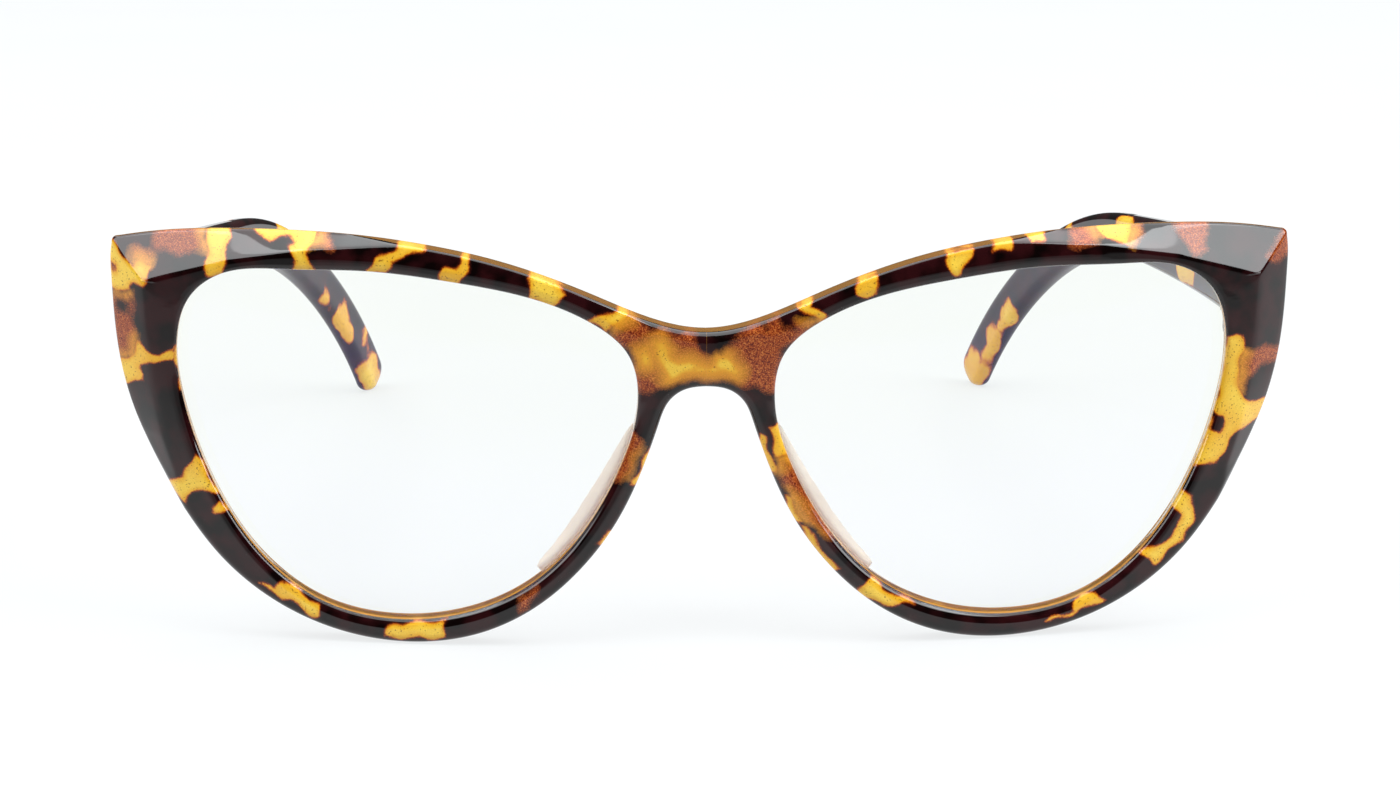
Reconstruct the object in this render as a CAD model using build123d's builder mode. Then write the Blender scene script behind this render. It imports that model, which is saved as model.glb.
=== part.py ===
"""Cat-eye spectacles: one wrapped plastic front, two clear lenses, bonded nose pads and two temples.

Millimetres. X runs across the face, the front looks towards -Y, the temples run back to +Y and
+Z is up. The glasses stand open on a table: the lower rims and the temple tips touch Z = 0.
"left" is the wearer's left, which is +X. Depths are counted back from the front of the bridge.
"""
import os
from math import cos, radians, sin, sqrt

from build123d import *

os.makedirs("parts", exist_ok=True)

# Overall sizes
DEPTH = 142.5                      # front of the bridge to the temple tips
FRONT_Y = -DEPTH / 2               # the front of the bridge
WRAP_RADIUS = 250.0                # the front is wrapped on this cylinder
FRONT_THICKNESS = 4.2
HALF_WIDTH = 71.55
CUT_REACH = 100.0                  # cutting prisms run this far either way

# Front outline, right of the middle: bridge top out to the upper corner, then down and back
TOP_EDGE = [
    (0, 38.75), (6.7, 40.05), (13.3, 42.75), (20, 45.35), (26.6, 47.3), (33.4, 48.65),
    (41, 49.6), (50, 50.05), (57, 50.0), (64, 49.55), (70.4, 48.55),
]
CORNER_TIP = (71.35, 47.6)
OUTER_EDGE = [
    CORNER_TIP, (HALF_WIDTH, 43.5), (71.2, 36.8), (70.2, 30.6), (68.2, 24.65), (64.3, 17.35),
    (59.1, 10.05), (52, 4.35), (44.5, 1.2), (36.2, 0.0), (27.9, 1.15), (20.5, 4.75),
    (15.1, 9.55), (10.8, 15.35), (7.3, 22.85), (5.6, 27.75), (4.5, 30.25), (2.6, 31.75), (0, 32.15),
]

# Lens opening, right of the middle, anticlockwise from its nasal side
OPENING = [
    (8.15, 31.3), (10.2, 22.5), (14.4, 14.8), (20.6, 8.1), (28.9, 4.0), (37.5, 2.95), (46.2, 4.8),
    (53.6, 10.2), (59.4, 19.1), (62.7, 28.8), (63.4, 36.5), (61.6, 42.0), (57.5, 45.0),
    (50, 45.75), (40, 45.75), (30, 44.65), (20.5, 42.75), (13.4, 39.75), (9.3, 36.1),
]
OPENING_STEPS = 44                 # points on a grown copy of the opening
LENS_OVERLAP = 0.5                 # how far the lens edge sits in its groove
LENS_THICKNESS = 2.0
LENS_SETBACK = 1.4                 # front face of the rim to the front of the lens
LENS_PLAY = 0.05

# Facets: the brow and the outer side lean back from a ridge to the edge of the outline
FACET_DEPTH = 2.6
BROW_RIDGE = [                     # x, height of the ridge, height of the top edge there
    (31, 48.75, 48.75), (36, 48.9, 49.1), (40, 48.75, 49.5), (48, 48.2, 49.95),
    (57.5, 46.55, 49.98), (62.6, 45.05, 49.7), (67.5, 43.65, 49.1), (73, 42.1, 48.2),
]
SIDE_CREASE = [                    # height, x of the crease, x of the outline there
    (51, 67.2, 71.4), (43.65, 67.5, 71.55), (37, 67.3, 71.2), (31, 66.7, 70.3), (25, 65.6, 68.35),
    (20, 64.0, 65.9), (16, 63.4, 63.4),
]

# End pieces, where the temples meet the front
JOINT_DEPTH = 20.0                 # depth of the joint plane and of the hinge axis
JOINT_GAP = 0.05
END_INNER_X = 64.2
END_BOTTOM = 33.6
END_TOP = 45.2
END_CORNER = 2.0

# Hinge: three barrels on one screw
HINGE_X = 65.9
HINGE_Z = 39.4
BARREL_RADIUS = 1.5
BARREL_BORE = 0.7
BARREL_HEIGHT = 1.45
BARREL_GAP = 0.05
HINGE_HALF = 1.5 * BARREL_HEIGHT + 2 * BARREL_GAP
LEAF_THICKNESS = 1.0
FRONT_LEAF_START = 11.5            # depth where the leaf buried in the end piece begins
BARREL_ROOM = 0.3
SCREW_RADIUS = 0.65
SCREW_HEAD_RADIUS = 1.2
SCREW_HEAD_HEIGHT = 0.6
SLOT_WIDTH = 0.35
SLOT_DEPTH = 0.3

# Temples
TEMPLE_THICKNESS = 3.8             # at the butt
TEMPLE_BUTT_HEIGHT = 11.0
TEMPLE_TIP_HEIGHT = 6.0
TEMPLE_SLOPE = radians(4.6)        # the straight part falls towards the ear
BEND_DEPTH = 84.0                  # where the ear bend begins
BEND_RADIUS = 76.0
TIP_SLOPE = radians(54.4)
TEMPLE_SWEEP = [                   # depth, x of the temple's middle line, its thickness there
    (16, 69.5, 3.8), (40, 69.3, 3.8), (60, 67.75, 3.7), (81, 64.7, 3.5), (101, 60.2, 3.2),
    (120, 54.9, 2.9), (135, 49.9, 2.65), (146, 46.0, 2.5),
]
TEMPLE_LEAF_X = 68.4               # middle of the leaf buried in the temple
TEMPLE_LEAF_END = 32.0
CORE_HEIGHT = 1.6
CORE_THICKNESS = 1.0
CORE_END_SLOPE = radians(46)

# Nose pads
PAD_EDGE = [(6.3, 26.6), (8.2, 21.6), (11.2, 15.9), (15.0, 10.6), (18.2, 7.4)]
PAD_THICKNESS = 1.7
PAD_SPLAY = radians(11)
PAD_REACH = 8.6                    # depth of the back of the pad
PAD_MIDDLE_Z = 17.2
PAD_HALF_LENGTH = 10.6

SIDES = {"left": 1, "right": -1}


def wrap_depth(x):
    """How far back the wrapped front surface is at x."""
    return WRAP_RADIUS - sqrt(WRAP_RADIUS**2 - x**2)


def shell(start, end):
    """The layer of the wrap between two depths, tall enough for any cut."""
    with BuildPart() as layer:
        with BuildSketch(Plane.XY.offset(-10)):
            with Locations((0, FRONT_Y + WRAP_RADIUS)):
                Circle(WRAP_RADIUS - start)
                Circle(WRAP_RADIUS - end, mode=Mode.SUBTRACT)
            with Locations((0, FRONT_Y)):
                Rectangle(180, 60, mode=Mode.INTERSECT)
        extrude(amount=80)
    return layer.part


def grown_opening(growth):
    """Points round the left eye opening, moved outwards by this much."""
    loop = Edge.make_spline([Vector(x, z, 0) for x, z in OPENING], periodic=True)
    points = []
    for step in range(OPENING_STEPS):
        here = loop.position_at(step / OPENING_STEPS)
        along = loop.tangent_at(step / OPENING_STEPS)
        points.append((here.X + growth * along.Y, here.Y - growth * along.X))
    return points


def opening_prism(side, growth):
    """A prism through one eye opening, grown all round."""
    with BuildPart() as prism:
        with BuildSketch(Plane.XZ.offset(CUT_REACH)):
            with BuildLine():
                Spline(*[(side * x, z) for x, z in grown_opening(growth)], periodic=True)
            make_face()
        extrude(amount=-2 * CUT_REACH)
    return prism.part


def brow_cutter():
    """The wedge in front of the left brow facet."""
    with BuildPart() as wedge:
        for x, ridge, top in BROW_RIDGE:
            y = FRONT_Y + wrap_depth(min(x, HALF_WIDTH))
            rise = (top - ridge) / FACET_DEPTH
            with BuildSketch(Plane((x, 0, 0), x_dir=(0, 1, 0), z_dir=(1, 0, 0))):
                with BuildLine():
                    Polyline(
                        (y - 2, ridge - 2 * rise),
                        (y + FACET_DEPTH + 1.5, top + 1.5 * rise),
                        (y + FACET_DEPTH + 1.5, top + 12),
                        (y - 2, top + 12),
                        close=True,
                    )
                make_face()
        loft(ruled=True)
    return wedge.part


def side_cutter():
    """The wedge in front of the left outer side facet."""
    with BuildPart() as wedge:
        for z, crease, edge in SIDE_CREASE:
            y = FRONT_Y + wrap_depth(crease)
            y_edge = FRONT_Y + wrap_depth(edge) + FACET_DEPTH * (edge > crease)
            run = (edge - crease) / (y_edge - y) if edge > crease else 0.3
            with BuildSketch(Plane.XY.offset(z)):
                with BuildLine():
                    Polyline(
                        (crease - 2 * run, y - 2),
                        (edge + 1.5 * run, y_edge + 1.5),
                        (edge + 12, y_edge + 1.5),
                        (edge + 12, y - 2),
                        close=True,
                    )
                make_face()
        loft(ruled=True)
    return wedge.part


def end_piece_blank():
    """The block behind the left upper corner that holds the hinge, before it is trimmed."""
    with BuildPart() as block:
        with BuildSketch(Plane.XZ.offset(-(FRONT_Y + 8))):
            with Locations(((END_INNER_X + 80) / 2, (END_BOTTOM + END_TOP) / 2)):
                RectangleRounded(80 - END_INNER_X, END_TOP - END_BOTTOM, END_CORNER)
        extrude(amount=-(JOINT_DEPTH - JOINT_GAP - 8))
        notch_x = TEMPLE_SWEEP[0][1] - TEMPLE_THICKNESS / 2 + JOINT_GAP
        notch_depth = BARREL_RADIUS + BARREL_ROOM
        with Locations((notch_x - 5, FRONT_Y + JOINT_DEPTH - notch_depth + 5, HINGE_Z)):
            Box(10, 10, 30, mode=Mode.SUBTRACT)
    return block.part


def barrel(low, high):
    """One hinge barrel round the left hinge axis, from one height to another."""
    with BuildPart() as tube:
        with BuildSketch(Plane.XY.offset(low)):
            with Locations((HINGE_X, FRONT_Y + JOINT_DEPTH)):
                Circle(BARREL_RADIUS)
                Circle(BARREL_BORE, mode=Mode.SUBTRACT)
        extrude(amount=high - low)
    return tube.part


def centre_line(angle):
    """Depth and height of the temple's middle line where it falls at this angle."""
    z_bend = HINGE_Z - (BEND_DEPTH - JOINT_DEPTH) * sin(TEMPLE_SLOPE) / cos(TEMPLE_SLOPE)
    depth = BEND_DEPTH + BEND_RADIUS * (sin(angle) - sin(TEMPLE_SLOPE))
    return depth, z_bend - BEND_RADIUS * (cos(TEMPLE_SLOPE) - cos(angle))


def side_edge(half_start, half_bend, half_end, start, end_angle, sign):
    """Points along the top (sign 1) or bottom (sign -1) edge of a strip on the middle line."""
    z_start = HINGE_Z - (start - JOINT_DEPTH) * sin(TEMPLE_SLOPE) / cos(TEMPLE_SLOPE)
    edge = [(FRONT_Y + start, z_start + sign * half_start)]
    steps = 6
    for step in range(steps + 1):
        angle = TEMPLE_SLOPE + (end_angle - TEMPLE_SLOPE) * step / steps
        half = half_bend + (half_end - half_bend) * step / steps
        depth, z = centre_line(angle)
        edge.append((FRONT_Y + depth + sign * half * sin(angle), z + sign * half * cos(angle)))
    return edge


def strip(half_start, half_bend, half_end, start, end_angle, round_tip, thickness=None):
    """A bar that follows the left temple: a side profile trimmed to the temple's sweep.

    It is as thick as the temple where no thickness is given.
    """
    top = side_edge(half_start, half_bend, half_end, start, end_angle, 1)
    bottom = side_edge(half_start, half_bend, half_end, start, end_angle, -1)
    depth, z = centre_line(end_angle)
    reach = half_end * 0.9
    tip = (FRONT_Y + depth + reach * cos(end_angle), z - reach * sin(end_angle))
    with BuildPart() as bar:
        with BuildSketch(Plane.YZ):
            with BuildLine():
                Spline(*top)
                if round_tip:
                    ThreePointArc(top[-1], tip, bottom[-1])
                else:
                    Line(top[-1], bottom[-1])
                Spline(*bottom[::-1])
                Line(bottom[0], top[0])
            make_face()
        extrude(amount=100)
        with BuildSketch(Plane.XY.offset(-5)):
            with BuildLine():
                outer = Spline(*[(x + (thickness or thick) / 2, FRONT_Y + d) for d, x, thick in TEMPLE_SWEEP])
                inner = Spline(*[(x - (thickness or thick) / 2, FRONT_Y + d)
                                 for d, x, thick in TEMPLE_SWEEP[::-1]])
                Line(outer @ 1, inner @ 0)
                Line(inner @ 1, outer @ 0)
            make_face()
        extrude(amount=70, mode=Mode.INTERSECT)
    return bar.part


def nose_pad_blank():
    """The left nose pad before it is trimmed to the back of the rim."""
    chord_x = PAD_EDGE[-1][0] - PAD_EDGE[0][0]
    chord_z = PAD_EDGE[-1][1] - PAD_EDGE[0][1]
    length = sqrt(chord_x**2 + chord_z**2)
    across = (-chord_z / length, chord_x / length)
    lean = Vector(across[0] * sin(PAD_SPLAY), cos(PAD_SPLAY), across[1] * sin(PAD_SPLAY))
    with BuildPart() as pad:
        with BuildSketch(Plane.XZ.offset(-FRONT_Y)):
            with BuildLine():
                near = Spline(*PAD_EDGE)
                far = Spline(*[(x + across[0] * PAD_THICKNESS, z + across[1] * PAD_THICKNESS)
                               for x, z in PAD_EDGE[::-1]])
                Line(near @ 1, far @ 0)
                Line(far @ 1, near @ 0)
            make_face()
        extrude(amount=PAD_REACH / cos(PAD_SPLAY), dir=lean)
        with BuildSketch(Plane.YZ):
            with Locations((FRONT_Y + 3.0, PAD_MIDDLE_Z)):
                Ellipse(PAD_REACH - 3.0, PAD_HALF_LENGTH)
        extrude(amount=60, mode=Mode.INTERSECT)
    return pad.part


# Front frame
wrap = shell(0, FRONT_THICKNESS)
with BuildPart() as outline:
    with BuildSketch(Plane.XZ.offset(CUT_REACH)):
        with BuildLine():
            top_edge = Spline(*TOP_EDGE, tangents=[(1, 0), (1, -0.2)])
            outer_edge = Spline(*OUTER_EDGE, tangents=[(0.2, -1), (-1, 0)])
            Line(top_edge @ 1, outer_edge @ 0)
            mirror(about=Plane.YZ)
        make_face()
    extrude(amount=-2 * CUT_REACH)

with BuildPart() as front_frame:
    add(wrap)
    add(end_piece_blank())
    mirror(end_piece_blank(), about=Plane.YZ)
    add(outline.part, mode=Mode.INTERSECT)
    add(brow_cutter(), mode=Mode.SUBTRACT)
    mirror(brow_cutter(), about=Plane.YZ, mode=Mode.SUBTRACT)
    add(side_cutter(), mode=Mode.SUBTRACT)
    mirror(side_cutter(), about=Plane.YZ, mode=Mode.SUBTRACT)
    for side in SIDES.values():
        add(opening_prism(side, 0), mode=Mode.SUBTRACT)

# Lenses, each in a groove round its opening
lens_layer = shell(LENS_SETBACK, LENS_SETBACK + LENS_THICKNESS)
groove_layer = shell(LENS_SETBACK - LENS_PLAY, LENS_SETBACK + LENS_THICKNESS + LENS_PLAY)
for name, side in SIDES.items():
    with BuildPart() as lens:
        add(opening_prism(side, LENS_OVERLAP))
        add(lens_layer, mode=Mode.INTERSECT)
    lens.part.label = f"{name}_lens"
    export_step(lens.part, f"parts/{name}_lens.step")
    with BuildPart() as groove:
        add(opening_prism(side, LENS_OVERLAP + LENS_PLAY))
        add(groove_layer, mode=Mode.INTERSECT)
    with front_frame:
        add(groove.part, mode=Mode.SUBTRACT)

# Nose pads, bonded to the back of the nasal rims
for name, side in SIDES.items():
    with BuildPart() as nose_pad:
        add(nose_pad_blank())
        add(shell(-20, FRONT_THICKNESS), mode=Mode.SUBTRACT)
    pad = nose_pad.part if side == 1 else nose_pad.part.mirror(Plane.YZ)
    pad.label = f"{name}_nose_pad"
    export_step(pad, f"parts/{name}_nose_pad.step")

# Hinges
axis_y = FRONT_Y + JOINT_DEPTH
low = HINGE_Z - HINGE_HALF
high = HINGE_Z + HINGE_HALF
middle_low = HINGE_Z - BARREL_HEIGHT / 2
middle_high = HINGE_Z + BARREL_HEIGHT / 2

with BuildPart() as front_leaf:
    leaf_start = FRONT_Y + FRONT_LEAF_START
    with Locations((HINGE_X, (leaf_start + axis_y) / 2, HINGE_Z)):
        Box(LEAF_THICKNESS, axis_y - leaf_start, 2 * HINGE_HALF)
    with Locations((HINGE_X, axis_y, HINGE_Z)):
        Box(5, 2 * (BARREL_RADIUS + BARREL_ROOM), BARREL_HEIGHT + 2 * BARREL_GAP, mode=Mode.SUBTRACT)
        Cylinder(BARREL_BORE, 10, mode=Mode.SUBTRACT)
    add(barrel(low, middle_low - BARREL_GAP))
    add(barrel(middle_high + BARREL_GAP, high))

with BuildPart() as temple_leaf:
    arm_start = HINGE_X + BARREL_BORE + 0.2
    arm_end = TEMPLE_LEAF_X + LEAF_THICKNESS / 2
    with Locations(((arm_start + arm_end) / 2, axis_y + 0.75, HINGE_Z)):
        Box(arm_end - arm_start, 1.2, BARREL_HEIGHT)
    leaf_depth = TEMPLE_LEAF_END - JOINT_DEPTH - 0.15
    with Locations((TEMPLE_LEAF_X, FRONT_Y + TEMPLE_LEAF_END - leaf_depth / 2, HINGE_Z - 0.3)):
        Box(LEAF_THICKNESS, leaf_depth, 2 * HINGE_HALF)
    add(barrel(middle_low, middle_high))

with BuildPart() as hinge_screw:
    with BuildSketch(Plane.XY.offset(low)):
        with Locations((HINGE_X, axis_y)):
            Circle(SCREW_RADIUS)
    extrude(amount=high - low)
    with BuildSketch(Plane.XY.offset(high)):
        with Locations((HINGE_X, axis_y)):
            Circle(SCREW_HEAD_RADIUS)
    extrude(amount=SCREW_HEAD_HEIGHT)
    with Locations((HINGE_X, axis_y, high + SCREW_HEAD_HEIGHT)):
        Box(4, SLOT_WIDTH, 2 * SLOT_DEPTH, mode=Mode.SUBTRACT)

# Temples, each with its hinge leaf and core wire buried in it
with BuildPart() as core_wire:
    add(strip(CORE_HEIGHT / 2, CORE_HEIGHT / 2, CORE_HEIGHT / 2,
              TEMPLE_LEAF_END, CORE_END_SLOPE, round_tip=False, thickness=CORE_THICKNESS))

with BuildPart() as temple:
    add(strip(TEMPLE_BUTT_HEIGHT / 2, TEMPLE_TIP_HEIGHT / 2, TEMPLE_TIP_HEIGHT / 2,
              JOINT_DEPTH + JOINT_GAP, TIP_SLOPE, round_tip=True))
    add(temple_leaf.part, mode=Mode.SUBTRACT)
    add(core_wire.part, mode=Mode.SUBTRACT)

with front_frame:
    add(front_leaf.part, mode=Mode.SUBTRACT)
    mirror(front_leaf.part, about=Plane.YZ, mode=Mode.SUBTRACT)
front_frame.part.label = "front_frame"
export_step(front_frame.part, "parts/front_frame.step")

SIDE_PIECES = {
    "front_hinge_leaf": front_leaf.part,
    "temple_hinge_leaf": temple_leaf.part,
    "hinge_screw": hinge_screw.part,
    "core_wire": core_wire.part,
    "temple": temple.part,
}
for name, side in SIDES.items():
    for piece_name, piece in SIDE_PIECES.items():
        placed = piece if side == 1 else piece.mirror(Plane.YZ)
        placed.label = f"{name}_{piece_name}"
        export_step(placed, f"parts/{name}_{piece_name}.step")
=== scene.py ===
"""Looks for the cat-eye spectacles: a tortoiseshell front and temples, clear coated lenses, pads and hinges.

The shapes are worked out in millimetres and turned into metres when each mesh is made. Their tables
are those of the CAD model, with a few points drawn in a little to stay inside its bounding box.
X runs across the face, the front looks towards -Y, +Z is up. Depth means the distance behind the
wrapped front surface.
"""
from math import cos, pi, radians, sin, sqrt

import bmesh
import bpy
import numpy as np
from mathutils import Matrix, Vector


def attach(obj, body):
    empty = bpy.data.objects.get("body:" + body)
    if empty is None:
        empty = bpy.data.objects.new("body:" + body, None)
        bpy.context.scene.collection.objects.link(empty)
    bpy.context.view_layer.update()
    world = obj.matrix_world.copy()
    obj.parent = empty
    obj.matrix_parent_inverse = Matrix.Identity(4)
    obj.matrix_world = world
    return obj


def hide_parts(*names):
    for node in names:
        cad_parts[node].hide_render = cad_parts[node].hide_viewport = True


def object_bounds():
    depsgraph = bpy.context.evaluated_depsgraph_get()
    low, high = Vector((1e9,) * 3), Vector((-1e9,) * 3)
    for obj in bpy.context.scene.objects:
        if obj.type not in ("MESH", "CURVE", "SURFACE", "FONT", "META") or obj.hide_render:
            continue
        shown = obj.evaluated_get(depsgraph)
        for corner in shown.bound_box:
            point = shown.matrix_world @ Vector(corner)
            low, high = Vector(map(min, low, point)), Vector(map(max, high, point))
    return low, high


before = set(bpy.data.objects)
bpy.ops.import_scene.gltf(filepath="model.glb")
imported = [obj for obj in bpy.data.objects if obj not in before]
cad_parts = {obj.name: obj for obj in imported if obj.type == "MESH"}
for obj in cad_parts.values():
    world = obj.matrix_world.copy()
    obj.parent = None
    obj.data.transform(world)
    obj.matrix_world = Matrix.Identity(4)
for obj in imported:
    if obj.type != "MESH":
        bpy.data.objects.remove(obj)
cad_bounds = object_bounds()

MM = 0.001
FRONT_Y = -71.25
WRAP_RADIUS = 250.0
THICKNESS = 4.2

# ---------------------------------------------------------------- tables of the front, one half
TOP_EDGE = [
    (0, 38.75), (6.7, 40.05), (13.3, 42.75), (20, 45.35), (26.6, 47.3), (33.4, 48.65),
    (41, 49.6), (50, 50.03), (57, 49.98), (64, 49.55), (70.4, 48.55),
]
CORNER_ROUND = [(70.4, 48.55), (71.02, 48.42), (71.28, 48.1), (71.35, 47.6)]
OUTER_EDGE = [
    (71.35, 47.6), (71.53, 43.5), (71.2, 36.8), (70.2, 30.6), (68.2, 24.65), (64.3, 17.35),
    (59.1, 10.05), (52, 4.35), (44.5, 1.2), (36.2, 0.03), (27.9, 1.15), (20.5, 4.75),
    (15.1, 9.55), (10.8, 15.35), (7.3, 22.85), (5.6, 27.75), (4.5, 30.25), (2.6, 31.75), (0, 32.15),
]
OPENING = [
    (8.15, 31.3), (10.2, 22.5), (14.4, 14.8), (20.6, 8.1), (28.9, 4.0), (37.5, 2.95), (46.2, 4.8),
    (53.6, 10.2), (59.4, 19.1), (62.7, 28.8), (63.4, 36.5), (61.6, 42.0), (57.5, 45.0),
    (50, 45.75), (40, 45.75), (30, 44.65), (20.5, 42.75), (13.4, 39.75), (9.3, 36.1),
]
# Where each point of the opening looks out to on the outline, anticlockwise from the bridge
STATION_KEYS = [
    ((8.2, 32.4), (0, 32.15)), ((8.1, 30.6), (2.6, 31.75)), ((8.25, 29.2), (4.5, 30.25)),
    ((8.6, 27.5), (5.6, 27.75)),
    ((10.2, 22.5), (7.7, 21.8)), ((14.4, 14.8), (11.9, 13.5)), ((20.6, 8.1), (18.4, 6.4)),
    ((28.9, 4), (27.5, 1.25)), ((37.5, 2.95), (37.2, 0)), ((46.2, 4.8), (47.6, 2.2)),
    ((53.6, 10.2), (56.9, 7.9)), ((59.4, 19.1), (65.3, 19)), ((62.7, 28.8), (69.9, 29.5)),
    ((63.4, 36.5), (71.2, 36.8)), ((62.4, 40.2), (71.55, 44.2)), ((60.6, 43.2), (71.25, 48.2)),
    ((57.5, 45), (63, 49.65)), ((50, 45.75), (52, 50.1)), ((40, 45.75), (40, 49.5)),
    ((30, 44.65), (29.2, 47.9)), ((20.5, 42.75), (18.7, 44.8)), ((13.4, 39.75), (10.5, 41.5)),
    ((9.1, 35.8), (0, 38.75)),
]
FACET_DEPTH = 2.6
BROW_START = 31.0
BROW_RIDGE = [                     # x, height of the ridge, height of the top edge there
    (31, 48.75, 48.75), (36, 48.9, 49.1), (40, 48.75, 49.5), (48, 48.2, 49.95),
    (57.5, 46.55, 49.98), (62.6, 45.05, 49.7), (67.5, 43.65, 49.1), (73, 42.1, 48.2),
]
SIDE_START = 16.0
SIDE_CREASE = [                    # height, x of the crease, x of the outline there
    (16, 63.4, 63.4), (20, 64.0, 65.9), (25, 65.6, 68.35), (31, 66.7, 70.3), (37, 67.3, 71.2),
    (43.65, 67.5, 71.55), (51, 67.2, 71.4),
]
RIDGE_CORNER = (67.5, 43.65)
TOP_LEAN = 0.19                    # slope of the top rim above a crease this far from the lens
TOP_CREASE = 1.25
TOP_TUCK = 0.085                   # and the slope the other way between the crease and the lens
LOW_LEAN = 0.2                     # slope of the band that borders the lens round the lower rim
LOW_CREASE = 1.2
OUTLINE_CORNER = (71.3, 48.1)
CORNER_STATIONS = (14, 15)         # rows of STATION_KEYS at the upper corner, which are spaced closely
STATION_SPACING, CORNER_SPACING = 0.45, 0.22
RIDGE_ZONE = 0.6                   # half the width of the close points round the facet ridge
LENS_BEVEL = 0.6                   # rounding of the front edge that borders the lens
BACK_BEVEL = 0.35                  # rounding of the back edge that borders the lens
BACK_ROUND = 0.75                  # rounding of the outer back edge, away from the end pieces
TURNS = np.radians([0, 25, 50, 75, 90])
BAND_BLEND = 0.12                  # how softly the bands beside the lens meet the face
OUTER_WALL_AMBER_GLOW_SHARE = 0.36             # how much of the clear amber edge colour shows on the outer wall, lightened there as painted light through the plastic
OUTER_EDGE_AMBER_GLOW_SHARE = 0.3              # and on the outer front edge; it is 1 on the wall that faces the lens
NO_FACET = -6.0                    # a depth that leaves a facet out
OUTSIDE = -9.0                     # the value of a pattern field well outside every patch
LENS_FRONT, LENS_BACK = 1.4, 3.4   # depths of the two faces of a lens
LENS_CENTRE = (37.0, 26.0)
PAD_CELL = 0.28
PAD_SOFTENING = 24

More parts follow.
